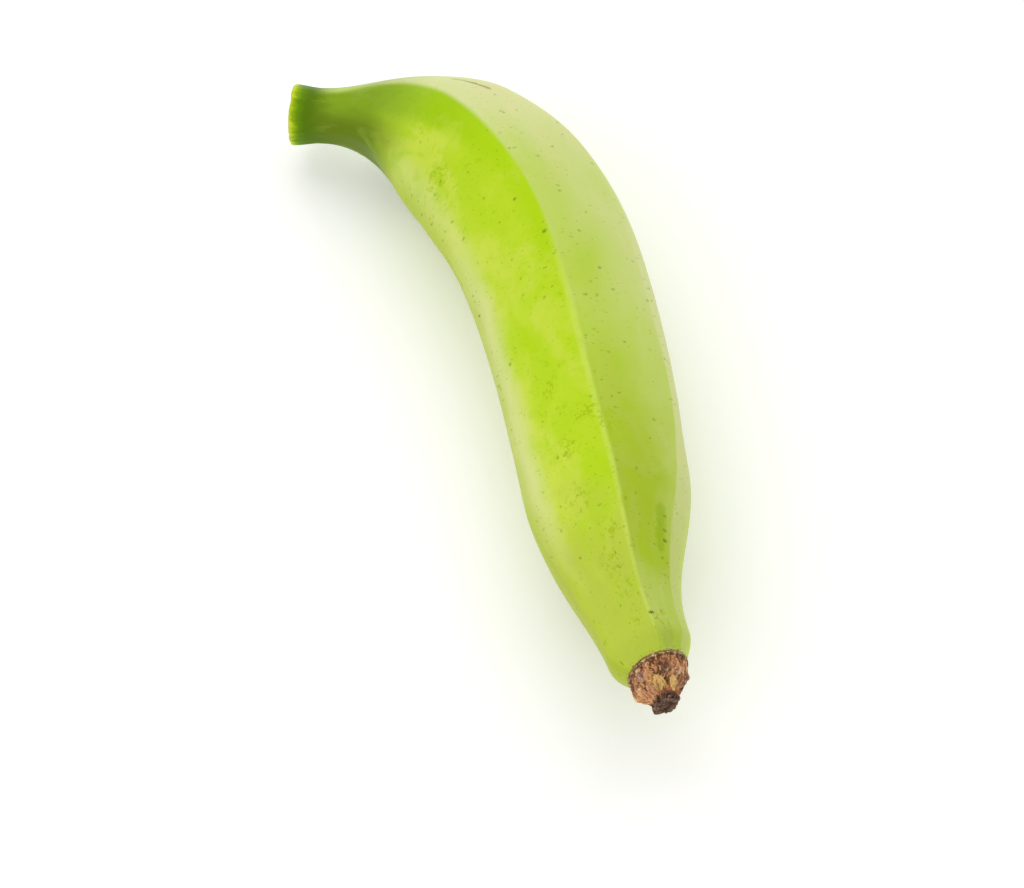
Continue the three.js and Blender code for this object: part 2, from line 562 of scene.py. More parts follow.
def scales_rule(finish):
    """Dry scales left by the flower: thin, curled and crumpled blades that point to the stub."""
    tree, board, size = new_rule("scales_rule", {
        "Middle Line": "Object",
        "Length": "Float",
        "Width": "Float",
        "Crumple": "Float",
    })
    sheet, uv, around, down = grid(board, SCALE_COLUMNS, SCALE_ROWS)
    taper = board.maths("SINE", down * math.pi) ** 0.5
    across = board.maths("COSINE", around * math.tau) * taper * size["Width"] * 0.5
    thick = board.maths("SINE", around * math.tau) * taper * (SCALE_THICKNESS / 2)
    bend = (down ** 2.0) * SCALE_CURL - board.maths("ABSOLUTE", across) * SCALE_FOLD
    blade = board.combine(across, thick - bend, down * size["Length"])
    scale = wrapped(board, sheet, uv, blade, [("blade", "FLOAT_VECTOR", blade)], turned=False)

    join = board.node("GeometryNodeJoinGeometry")
    for direction, depth, radius, lean, amount, bleached in SCALES:
        angle = math.radians(direction)
        point, out, along = on_blossom(board, size, angle, radius, depth)
        pointing = board.vector("ADD", along, board.vector("SCALE", out, scale=-lean))
        settings = {"primary_axis": "Z", "secondary_axis": "Y"}
        turn = board.first("FunctionNodeAxesToRotation", settings, {0: pointing, 1: out})
        wanted = {"Geometry": scale, "Rotation": turn, "Scale": (amount, amount, amount)}
        wanted["Translation"] = board.vector("SCALE", point, scale=MM)
        set_out = board.first("GeometryNodeTransform", None, wanted)
        wanted = {"Geometry": set_out, "Name": "bleached", "Value": bleached}
        stored = board.first("GeometryNodeStoreNamedAttribute", {"data_type": "FLOAT"}, wanted)
        board.feed(join.inputs[0], stored)

    place = board.vector("SCALE", board.first("GeometryNodeInputPosition"), scale=1 / MM)
    wanted = {"Vector": place, "Scale": SCALE_CRUMPLE_GRAIN, "Detail": 2.0}
    creased = board.node("ShaderNodeTexNoise", None, wanted)
    shift = board.vector("SUBTRACT", creased.outputs["Color"], (0.5, 0.5, 0.5))
    shift = board.vector("SCALE", shift, scale=size["Crumple"] * MM)
    crumpled = board.first("GeometryNodeSetPosition", None, {0: join.outputs[0], "Offset": shift})
    end_rule(board, crumpled, finish)
    return tree


CUT_COLUMNS = 96
CUT_ROWS = 48
CUT_FACE = 0.92
CUT_DISH = (0.45, 0.15)
CUT_ROUGHNESS = 0.35
CUT_GRAIN = 0.9
CUT_THICKNESS = 0.8

FIBRES = 70
FIBRE_RADIUS = 0.26
FIBRE_FLATNESS = 0.5
FIBRE_SIZES = (0.5, 1.2)
FIBRE_LIFT = 0.04
FIBRES_REACH = 0.88
FIBRE_STRAY = 0.25
GOLDEN_ANGLE = math.radians(137.5)


def on_cut(board, size, angle, across, sunk):
    """A point of the cut face, a share of the way out from its middle, and sunk by a depth."""
    cosine, sine = board.round_of(angle)
    outline = outline_at(board, cosine, sine, 0.0, size["Ridge Crispness"])
    reach = across * outline * (CUT_RADIUS * CUT_FACE)
    turned = angle + math.radians(CUT_TWIST)
    slant = reach * CUT_SLOPE * board.maths("COSINE", turned - math.radians(CUT_DIRECTION))
    dish = board.smooth(across, 0.2, 1.0, *CUT_DISH)
    place = place_on(board, curve_of(board, size["Middle Line"]), 0.0)
    inward, upward = [reach * side for side in board.round_of(turned)]
    face = board.combine(cosine * reach, sine * reach, size["Seed"])
    return point_at(board, place, inward, upward, slant + dish + sunk), face


def cut_rule(finish):
    """The fresh face of the cut stem: a shallow dish inside the peel's rim, closed behind."""
    tree, board, size = new_rule("cut_rule", {
        "Middle Line": "Object",
        "Columns": "Int",
        "Rows": "Int",
        "Ridge Crispness": "Float",
        "Seed": "Float",
    })
    sheet, uv, around, down = grid(board, size["Columns"], size["Rows"])
    front = board.limited(down * 2)
    back = board.limited(down * 2 - 1)
    across = front - back
    angle = around * math.tau
    _, face = on_cut(board, size, angle, across, 0.0)
    rough = (board.noise(face, CUT_GRAIN, 3.0, 0.6) - 0.5) * CUT_ROUGHNESS
    rough = rough * board.smooth(back, 0, 0.1, 1, 0)
    sunk = board.smooth(back, 0.0, 0.3, 0, CUT_THICKNESS)
    point, _ = on_cut(board, size, angle, across, rough + sunk)
    marks = [("face", "FLOAT_VECTOR", face), ("across", "FLOAT", across)]
    end_rule(board, wrapped(board, sheet, uv, point, marks), finish)
    return tree


def fibre_rule(finish):
    """Ends of the fibres that run up the stem, as small domes on the cut face."""
    tree, board, size = new_rule("fibre_rule", {
        "Middle Line": "Object",
        "Fibres": "Int",
        "Radius": "Float",
        "Ridge Crispness": "Float",
        "Seed": "Float",
    })
    wanted = {"Radius": board.vector("SCALE", size["Radius"], scale=MM), "Subdivisions": 2}
    dome = board.node("GeometryNodeMeshIcoSphere", None, wanted).outputs["Mesh"]
    index = Amount(board, board.first("GeometryNodeInputIndex"))
    across = ((index + 0.5) / size["Fibres"]) ** 0.5 * FIBRES_REACH
    angle = index * GOLDEN_ANGLE + board.chance(-FIBRE_STRAY, FIBRE_STRAY, 3)
    point, _ = on_cut(board, size, angle, across, FIBRE_LIFT)
    wanted = {"Count": size["Fibres"], "Position": board.vector("SCALE", point, scale=MM)}
    points = board.first("GeometryNodePoints", None, wanted)
    amount = board.chance(*FIBRE_SIZES, 5)
    flat = board.combine(amount * FIBRE_FLATNESS, amount, amount)
    wanted = {"Points": points, "Instance": dome, "Scale": flat}
    end_rule(board, board.first("GeometryNodeInstanceOnPoints", None, wanted), finish)
    return tree


# ------------------------------
# Finishes
# ------------------------------


def seen(red, green, blue):
    """A colour given as a screen shows it, 0 to 255, as the amounts of light that it sends back."""
    shown = [value / 255 for value in (red, green, blue)]
    sent = [((c + 0.055) / 1.055) ** 2.4 if c > 0.04 else c / 12.92 for c in shown]
    return (*sent, 1.0)


class Finish(Board):
    """The node tree of one material."""

    def __init__(self, name):
        self.material = bpy.data.materials.new(name)
        self.material.use_nodes = True
        super().__init__(self.material.node_tree)
        self.tree.nodes.clear()

    def mark(self, name):
        """A mark that the growth rule left on the piece, as a vector."""
        return self.node("ShaderNodeAttribute", {"attribute_name": name}).outputs["Vector"]

    def level(self, name):
        """A mark that the growth rule left on the piece, as a number."""
        return Amount(self, self.node("ShaderNodeAttribute", {"attribute_name": name}).outputs["Fac"])

    def mix(self, amount, first, second):
        made = self.node("ShaderNodeMix", {"data_type": "RGBA"}, {0: amount, 6: first, 7: second})
        return made.outputs[2]

    def layered(self, colour, layers):
        """Lays tones over a colour in turn, each as strongly as its mask and its strength say."""
        for mask, strength, tone in layers:
            colour = self.mix(mask * strength, colour, tone)
        return colour

    def scaled(self, vector, scale):
        return self.vector("MULTIPLY", vector, scale)

    def ramp(self, amount, stops):
        made = self.node("ShaderNodeValToRGB", None, {0: amount})
        points = made.color_ramp.elements
        points[0].position, points[0].color = stops[0]
        points[-1].position, points[-1].color = stops[-1]
        for place, colour in stops[1:-1]:
            points.new(place).color = colour
        return made.outputs[0]

    def cells(self, vector, scale):
        """Distance to the nearest of scattered points, and a random number for each."""
        made = self.node("ShaderNodeTexVoronoi", None, {"Vector": vector, "Scale": scale})
        return Amount(self, made.outputs["Distance"]), self.separate(made.outputs["Color"])

    def bump(self, height, strength, distance, under=None):
        wanted = {"Height": height, "Strength": strength, "Distance": distance, "Normal": under}
        return self.first("ShaderNodeBump", None, wanted)

    def done(self, colour, roughness, normal=None, **fixed):
        """Ends the material with its shader. Fixed values go by the names of its sockets."""
        shader = self.node("ShaderNodeBsdfPrincipled", None, {"Base Color": colour, "Roughness": roughness})
        self.feed(shader.inputs["Normal"], normal)
        for name, value in fixed.items():
            shader.inputs[name.replace("_", " ")].default_value = value
        self.node("ShaderNodeOutputMaterial", None, {0: shader.outputs[0]})
        return self.material


# Colours of a green plantain, as a screen shows them.
FRESH_GREEN = seen(182, 211, 36)
RICH_GREEN = seen(170, 207, 4)
DEEP_GREEN = seen(150, 190, 0)
YELLOW_GREEN = seen(194, 213, 68)
OUTER_GREEN = seen(176, 204, 52)
OLIVE = seen(160, 182, 34)
TIP_GREEN_AND_SHADE = seen(178, 193, 66)
# Pale wax bloom mixed with painted sheen, laid along the crests and the faces that turn away
WAX_AND_SHEEN = seen(210, 214, 152)
BLUSH = seen(222, 208, 150)
BLUSH_GREEN = seen(204, 215, 84)
FLECK = seen(156, 184, 0)
SHADE_GREEN = seen(168, 178, 56)
RIDGE_HIGHLIGHT = seen(204, 220, 110)
NECK_LIT = seen(124, 156, 26)
NECK_DARK_AND_SHADE = seen(92, 116, 0)
NECK_WAX_AND_SHEEN = seen(184, 206, 100)
NECK_PATCH = seen(146, 168, 62)
COLLAR = seen(86, 118, 0)
RAW_EDGE = seen(200, 208, 84)
SPECK = seen(108, 140, 0)
DOT = seen(92, 96, 20)
SCAR_BROWN = seen(120, 92, 44)

# From the knife cut to the end of the collar: (place, colour). The collar is this share of the fruit.
COLLAR_STOPS = [
    (0.0, seen(200, 208, 74)),
    (0.035, seen(184, 200, 34)),
    (0.08, seen(138, 170, 2)),
    (0.17, seen(98, 138, 0)),
    (0.32, COLLAR),
    (0.5, COLLAR),
]
COLLAR_SHARE = 0.07

# Wax bloom with painted sheen along each crest: (direction, full to this side, gone by this side, strength).
INNER_BLOOM_AND_SHEEN = (19, 2, 20, 0.66)
UNDER_BLOOMS_AND_SHEEN = [(LOWER_OUTER_RIDGE - 360, 4, 20, 0.55), (LOWER_INNER_RIDGE - 360, 4, 20, 0.5)]
# Strength of the painted shade low on the inner side, in steps of (from, to, change).
LOW_SHADE_STEPS = [(0.14, 0.2, 0.6), (0.78, 0.86, 0.2)]
# Wax bloom with painted sheen on the outer face: its amount at the stem, then steps of (from, to, change).
OUTER_FACE_BLOOM_AND_SHEEN = 0.86
OUTER_FACE_BLOOM_AND_SHEEN_STEPS = [(0.24, 0.42, -0.5), (0.5, 0.76, -0.36), (0.86, 0.93, 0.18)]

# Specks: how many lie along a millimetre, and how strongly they show.
SMUDGE_CELLS, SMUDGE_STRENGTH = 0.4, 0.55
DASH_CELLS, DASH_STRENGTH = 0.75, 0.45
DOT_CELLS, DOT_STRENGTH = 0.13, 0.6
HALO_STRENGTH = 0.15
FLECK_STRENGTH = 0.7

# Where specks crowd together: ((direction, share), reach).
CLUSTERS = [
    ((58, 0.810), 5.5),
    ((74, 0.852), 4),
    ((68, 0.885), 6),
    ((72, 0.915), 5),
    ((73, 0.955), 4),
    ((60, 0.735), 5),
    ((80, 0.700), 4),
    ((58, 0.650), 4),
    ((40, 0.296), 6),
    ((124, 0.850), 6),
    ((104, 0.965), 5),
    ((92, 0.720), 5),
]

# Small marks: (from, to, width, strength, colour). A place is a direction in degrees and a share.
MARKS = [
    ((119, 0.198), (124, 0.222), 0.9, 0.6, seen(152, 134, 82)),
    ((122, 0.216), (126, 0.238), 1.2, 0.75, seen(156, 130, 84)),
    ((123, 0.192), (125, 0.208), 0.6, 0.5, seen(156, 132, 88)),
    ((124, 0.826), (123, 0.87), 2.6, 0.6, seen(142, 172, 4)),
    ((127, 0.834), (128.5, 0.834), 0.5, 0.55, seen(104, 112, 8)),
    ((127, 0.851), (129, 0.851), 0.5, 0.6, seen(98, 104, 8)),
    ((127, 0.863), (129, 0.863), 0.6, 0.65, seen(92, 98, 8)),
    ((123, 0.885), (125, 0.885), 0.5, 0.5, seen(104, 118, 10)),
    ((125, 0.905), (127, 0.905), 0.5, 0.4, seen(108, 126, 10)),
    ((110, 0.984), (102, 0.988), 3.2, 0.3, seen(136, 160, 8)),
    ((89, 0.957), (93, 0.957), 0.5, 0.85, seen(84, 88, 18)),
    ((93, 0.965), (97, 0.965), 0.4, 0.55, seen(110, 122, 30)),
    ((52, 0.568), (56, 0.584), 4.2, 0.6, seen(172, 208, 0)),
]


class Skin:
    """A point of the peel: how far along and round the fruit it lies, and the noises of the peel."""

    def __init__(self, board):
        self.board = board
        self.place = board.mark("skin")
        x, y, z = board.separate(self.place)
        self.share = z / LENGTH
        self.direction = board.maths("ARCTAN2", y, x) * math.degrees(1)
        self.upness = y / BELLY
        self.clouds = board.noise(self.stretched(0.6), 0.08, 2.0, 0.5, 0.5)
        self.patches = board.noise(self.stretched(0.7), 0.105, 2.0, 0.5, 0.5)
        self.blotches = board.noise(self.place, 0.26, 3.0, 0.6, 0.4)
        self.freckles = board.noise(self.place, 0.55, 3.0, 0.65)
        self.grain = board.noise(self.place, 1.3, 2.0, 0.6)
        self.streaks = board.noise(self.stretched(0.06), 0.7, 2.0, 0.5)

    def stretched(self, amount):
        """The place with its length scaled, so that a pattern on it runs along or across the fruit."""
        return self.board.scaled(self.place, (1, 1, amount))

    def turn_from(self, start):
        """Angle round the fruit from a direction to this point, from -180 to 180 degrees."""
        return self.board.maths("FLOORED_MODULO", self.direction - start + 180, 360.0) - 180

    def along(self, start, end, low=0.0, high=1.0):
        """A smooth step from low to high between two shares of the length."""
        return self.board.smooth(self.share, start, end, low, high)

    def between(self, start, rise, end, fall):
        """1 from one share of the length to another, with a soft start and end."""
        return self.along(start, rise) * self.along(end, fall, 1, 0)

    def near(self, direction, full, gone):
        """1 within an angle of a direction, 0 past a wider one."""
        away = self.board.maths("ABSOLUTE", self.turn_from(direction) + (self.clouds - 0.5) * 14)
        return self.board.smooth(away, full, gone, 1, 0)


def inner_green(board, skin):
    """The face on the inside of the bend: rich by the top ridge, paler towards the bend, softly clouded,
    with painted shade on the shoulder and towards the tip.
    """
    from_top = skin.turn_from(TOP_RIDGE)
    pale = board.smooth(from_top + (skin.clouds - 0.5) * 80, -10, -76)
    # The pale tone is held back up to the end of the shoulder, as painted shade.
    pale = pale * skin.along(0.24, 0.36, 0.4, 1)
    colour = board.mix(pale, FRESH_GREEN, YELLOW_GREEN)
    mottled = skin.patches * 0.6 + skin.clouds * 0.4 + (skin.blotches - 0.5) * 0.2
    rich = board.smooth(mottled, 0.44, 0.62)
    # Painted shade on the shoulder, in deep green, growing towards the bend.
    shoulder = skin.between(0.14, 0.19, 0.27, 0.38) * board.smooth(from_top, -20, -80, 0.1, 0.65)

    # A rich band runs beside the top ridge, and narrows from the neck on.
    width = skin.along(0.16, 0.4, 24, 4)
    band = board.smooth(from_top + width, -15, 1) * skin.between(0.08, 0.13, 0.44, 0.6)
    band_green = board.mix(skin.between(0.1, 0.14, 0.2, 0.36), RICH_GREEN, DEEP_GREEN)

    freckles = board.smooth(skin.freckles, 0.56, 0.66) * board.smooth(skin.blotches, 0.42, 0.6)
    worn = board.smooth(skin.clouds * 0.7 + skin.blotches * 0.3, 0.51, 0.39) * (1 - band * 0.6)
    most_worn = skin.between(0.14, 0.2, 0.34, 0.44) * 0.2 + 0.3
    # Duller green towards the tip: partly the fruit's own colour, partly painted shade.
    tip = skin.along(0.7, 0.96, 0, 1.1) - (skin.patches - 0.4) * 1.4
    return board.layered(colour, [
        (rich, skin.along(0.2, 0.38, 0.2, 0.46), RICH_GREEN),
        (shoulder, 1, DEEP_GREEN),
        (band, 0.9, band_green),
        (freckles, rich * 0.25 + 0.25, DEEP_GREEN),
        (worn, most_worn, BLUSH_GREEN),
        (board.limited(tip, 0, 0.9), skin.along(0.7, 0.8), TIP_GREEN_AND_SHADE),
    ])


def outer_green(board, skin):
    """The face on top, outside the ridge: wax bloom and painted sheen by the shoulder, olive further down.
    """
    olive = skin.between(0.56, 0.8, 1.0, 1.1)
    from_ridge = skin.turn_from(TOP_RIDGE)
    patchy = (skin.patches - 0.5) * 0.8
    colour = board.mix(board.limited(olive * 0.75 + patchy * 0.5), OUTER_GREEN, OLIVE)
    # Wax bloom with painted sheen, stronger towards the far side of the face.
    bloom_and_sheen = board.stepped(OUTER_FACE_BLOOM_AND_SHEEN, OUTER_FACE_BLOOM_AND_SHEEN_STEPS, skin.share)
    sideways = board.smooth(from_ridge, 8, 55, -0.15, 0.22)
    bloom_and_sheen = bloom_and_sheen + sideways * skin.between(0.24, 0.4, 0.8, 0.9)
    bloom_and_sheen = board.limited(bloom_and_sheen + (skin.clouds - 0.5) * 0.6)
    colour = board.mix(bloom_and_sheen, colour, WAX_AND_SHEEN)
    blush = board.smooth(skin.patches, 0.46, 0.66) * skin.along(0.25, 0.45, 1, 0.2)
    return board.mix(blush * 0.4, colour, BLUSH)


def under_green(board, skin):
    """The three faces underneath."""
    rich = board.smooth(skin.patches, 0.48, 0.62)
    colour = board.mix(rich * 0.7, FRESH_GREEN, RICH_GREEN)
    colour = board.mix(board.smooth(skin.clouds, 0.48, 0.6) * 0.6, colour, YELLOW_GREEN)
    # Wax bloom with painted sheen along the two lower crests.
    for direction, full, gone, strength in UNDER_BLOOMS_AND_SHEEN:
        bloom_and_sheen = skin.near(direction, full, gone) * skin.between(0.15, 0.3, 0.85, 0.98)
        colour = board.mix(bloom_and_sheen * strength, colour, WAX_AND_SHEEN)
    return colour


def faces_joined(board, skin):
    """The faces in their places round the fruit, with wax bloom and painted sheen along the crests, a
    painted highlight on the ridges and painted shade low on the inner side.
    """
    at_top = skin.turn_from(TOP_RIDGE) + (skin.streaks - 0.5) * 1.5
    at_inner = skin.turn_from(INNER_RIDGE) + (skin.clouds - 0.5) * 12
    drift = skin.along(OUTER_DRIFT_FROM, OUTER_DRIFT_TO, 0, OUTER_DRIFT)
    at_outer = skin.turn_from(OUTER_RIDGE) + drift + (skin.streaks - 0.5) * 2

    inside = board.smooth(at_inner, -8, 14) * board.smooth(at_top, 20, 40, 1, 0)
    colour = board.mix(inside, under_green(board, skin), inner_green(board, skin))
    # Wax bloom with painted sheen along the inner crest.
    direction, full, gone, strength = INNER_BLOOM_AND_SHEEN
    bloom_and_sheen = skin.near(direction, full, gone) * skin.between(0.17, 0.24, 0.74, 0.92)
    bloom_and_sheen = bloom_and_sheen * skin.along(0.36, 0.52, 0.5, 1)
    colour = board.mix(bloom_and_sheen * strength, colour, WAX_AND_SHEEN)

    soft = skin.along(0.2, 0.5, 3.0, 1.2)
    over = board.smooth(at_top / soft, -0.7, 1.0) * board.smooth(at_outer, 2, 26, 1, 0)
    colour = board.mix(over, colour, outer_green(board, skin))
    # A pale strip along the outer crest: wax bloom with a painted highlight.
    from_edge = at_outer + skin.along(0.56, 0.72, 9, 5)
    sheen_strip = board.smooth(from_edge, 0, 2.5) * board.smooth(at_outer, 16, 34, 1, 0)
    sheen_strip = sheen_strip * skin.between(0.34, 0.52, 0.66, 1.15) * (1.15 - skin.clouds * 0.6)
    colour = board.mix(board.limited(sheen_strip) * 0.9, colour, WAX_AND_SHEEN)
    # Painted shade low on the inner side, from the shoulder on and a little more towards the tip.
    low = board.stepped(0.0, LOW_SHADE_STEPS, skin.share)
    colour = board.mix(low * board.smooth(at_inner, 12, -8), colour, SHADE_GREEN)

    # Lower down, the top ridge has a thin pale line: a painted highlight along the crest.
    line = board.smooth(board.maths("ABSOLUTE", at_top + 0.8), 3.0, 0.7)
    line = line * skin.between(0.42, 0.56, 0.95, 0.99) * board.smooth(skin.blotches, 0.3, 0.6, 0.4, 1)
    return board.mix(line * 0.45, colour, RIDGE_HIGHLIGHT)


def neck_on(board, skin, colour):
    """The dark stem, lighter on top and darker underneath as painted light and shade, the darker collar by
    the knife cut, and the bright edge of the cut itself.
    """
    # Painted light and shade: the stem is lighter on top and darker underneath; its dark tone also goes into
    # dark blotches.
    green = board.mix(board.smooth(skin.upness, 0.35, 0.95), NECK_DARK_AND_SHADE, NECK_LIT)
    # Wax bloom with painted sheen along the top of the stem.
    bloom_and_sheen = board.smooth(skin.turn_from(TOP_RIDGE), -9, 8) * skin.between(0.02, 0.04, 0.08, 0.13)
    waxed_and_sheen = bloom_and_sheen * 0.85 + (skin.streaks - 0.5) * 0.2
    green = board.layered(green, [
        (waxed_and_sheen, 1, NECK_WAX_AND_SHEEN),
        (board.smooth(skin.patches, 0.48, 0.66), 0.3, NECK_PATCH),
        (board.smooth(skin.blotches, 0.5, 0.3), 0.2, NECK_DARK_AND_SHADE),
    ])
    beyond = board.smooth(skin.turn_from(TOP_RIDGE), -5, 8)
    reach = skin.share + beyond * 0.045 + (skin.clouds - 0.5) * 0.05
    colour = board.mix(board.smooth(reach, 0.11, 0.235, 0.97, 0), colour, green)

    wander = (skin.blotches - 0.5) * 0.012 + (skin.patches - 0.5) * 0.02
    place = (skin.share + wander) / COLLAR_SHARE
    colour = board.mix(board.smooth(place, 0.35, 0.9, 1, 0), colour, board.ramp(place, COLLAR_STOPS))
    raw = board.smooth(board.level("cut"), 0.02, 0.09)
    return board.mix(raw, colour, RAW_EDGE)


def clusters_at(board, skin):
    """1 where specks crowd together, 0 away from there."""
    crowd = 0.0
    for (direction, share), reach in CLUSTERS:
        across = skin.turn_from(direction) * DEGREE
        along = (skin.share - share) * LENGTH
        away = board.maths("SQRT", across ** 2.0 + along ** 2.0) + (skin.blotches - 0.5) * reach
        crowd = board.maths("MAXIMUM", board.smooth(away, reach * 0.4, reach * 1.1, 1, 0), crowd)
    return crowd


def specks_on(board, skin, colour):
    """Fine specks in loose clusters, smudges that run across the fruit, and a few brown dots."""
    clusters = clusters_at(board, skin)
    flecks = board.smooth(skin.freckles, 0.5, 0.59) * clusters
    colour = board.mix(flecks * FLECK_STRENGTH, colour, FLECK)
    crowd = board.smooth(skin.patches + (skin.blotches - 0.5) * 0.5, 0.4, 0.58, 0.25, 1)
    crowd = board.limited(crowd + clusters) * skin.along(0.1, 0.2)
    shaken = board.combine(skin.grain * 1.6, skin.grain * 1.2, skin.blotches * 3.0)
    worn = board.vector("ADD", skin.place, shaken)

    away, luck = board.cells(board.scaled(worn, (1, 1, 1.2)), SMUDGE_CELLS)
    size = luck[0] * 0.17 + 0.05
    smudges = board.smooth(away / size, 0.4, 1.6, 1, 0) * board.smooth(luck[1], 0.4, 0.5) * crowd
    colour = board.mix(smudges * SMUDGE_STRENGTH, colour, SPECK)

    away, luck = board.cells(board.scaled(worn, (0.8, 0.8, 1.8)), DASH_CELLS)
    chosen = board.smooth(luck[0] + clusters * 0.3, 0.62, 0.72)
    dashes = board.smooth(away, 0.1, 0.3, 1, 0) * chosen * crowd
    colour = board.mix(dashes * DASH_STRENGTH, colour, SPECK)

    away, luck = board.cells(worn, DOT_CELLS)
    chosen = board.smooth(luck[1], 0.5, 0.6) * skin.along(0.15, 0.25)
    halo = board.smooth(away, 0.06, 0.15, 1, 0) * chosen * board.smooth(skin.direction, 85, 95)
    colour = board.mix(halo * HALO_STRENGTH, colour, BLUSH)
    dots = board.smooth(away, 0.03, 0.1, 1, 0) * chosen
    return board.mix(dots * DOT_STRENGTH, colour, DOT), dots + smudges * 0.4


def marks_on(board, skin, colour):
    """The few scars and smudges of this one fruit, as short strokes."""
    across = (skin.direction + (skin.freckles - 0.5) * 6) * DEGREE
    along = skin.share * LENGTH + (skin.grain - 0.5) * 1.8
    for start, end, width, strength, stain in MARKS:
        ax, ay = start[0] * DEGREE, start[1] * LENGTH
        bx, by = end[0] * DEGREE - ax, end[1] * LENGTH - ay
        px, py = across - ax, along - ay
        reach = board.limited((px * bx + py * by) / (bx * bx + by * by))
        off = board.maths("SQRT", (px - reach * bx) ** 2.0 + (py - reach * by) ** 2.0)
        stroke = board.smooth(off, width * 0.3, width * 1.1, 1, 0)
        colour = board.mix(stroke * strength, colour, stain)
    return colour


# Relief that only the light sees: (strength, depth in metres).
DENTS = (0.12, 0.0008)
PEEL_FIBRES = (0.06, 0.0002)
PORES = (0.18, 0.0002)


def peel_finish():
    """Waxy green peel: wax bloom and painted sheen on the crests, clouded faces, a dark neck and fine
    specks.
    """
    board = Finish("waxy_peel")
    skin = Skin(board)
    colour = faces_joined(board, skin)
    colour = neck_on(board, skin, colour)
    colour, pits = specks_on(board, skin, colour)
    colour = marks_on(board, skin, colour)
    spots = board.noise(board.scaled(skin.place, (1, 1, 3.5)), 0.9, 2.0, 0.6)
    stain = board.smooth(spots, 0.55, 0.62) * skin.along(0.99, 0.996)
    stain = board.limited(stain + skin.along(0.995, 0.999))
    colour = board.mix(stain * 0.8, colour, SCAR_BROWN)

    dents = board.bump(skin.blotches, *DENTS)
    fibres = board.bump(skin.streaks, *PEEL_FIBRES, dents)
    pores = board.bump(skin.grain - pits * 0.5, *PORES, fibres)
    roughness = 0.46 + (skin.grain - 0.5) * 0.16 + (skin.clouds - 0.5) * 0.2 + pits * 0.2
    return board.done(
        colour, roughness, pores, Specular_IOR_Level=0.09,
        Subsurface_Weight=0.05, Subsurface_Radius=(0.6, 1.0, 0.2), Subsurface_Scale=0.002,
    )


# Tones of the dried end, from its edge on the peel to the end of the stub: (place, colour).
BLOSSOM_STOPS = [
    (0.0, seen(204, 178, 116)),
    (0.07, seen(196, 158, 98)),
    (0.1, seen(96, 52, 24)),
    (0.17, seen(150, 90, 48)),
    (0.28, seen(198, 132, 82)),
    (0.5, seen(212, 152, 98)),
    (0.77, seen(184, 122, 78)),
    (0.85, seen(100, 60, 42)),
    (0.92, seen(74, 46, 36)),
    (1.0, seen(104, 76, 58)),
]
THREAD_LIGHT = seen(250, 210, 160)
THREAD_DARK = seen(84, 46, 22)
EDGE_BROWN = seen(92, 62, 32)
FURROW_SHADE = seen(58, 34, 22)
CREST_HIGHLIGHT = seen(240, 206, 160)

# Patches of the dried end: (middle: towards the bend, up, past the peel), reach, strength, colour.
BLOSSOM_TONES = [
    ((-1.6, 7.3, 1.8), 2.0, 0.5, seen(146, 80, 48)),
    ((4.3, 2.0, 5.8), 3.4, 0.75, seen(236, 168, 112)),
    ((-5.3, 3.6, 4.3), 2.4, 0.65, seen(202, 156, 124)),
    ((1.5, 5.0, 5.2), 2.4, 0.8, seen(232, 182, 106)),
    ((-1.3, 6.9, 3.4), 2.4, 0.85, seen(84, 54, 34)),
    ((5.2, 5.2, 2.6), 2.2, 0.75, seen(138, 108, 100)),
    ((7.2, 1.2, 2.2), 2.2, 0.6, seen(100, 66, 46)),
    ((-1.0, 4.5, 6.0), 1.3, 0.85, seen(104, 88, 28)),
    ((-6.1, -0.6, 4.4), 2.6, 0.8, seen(88, 46, 34)),
]


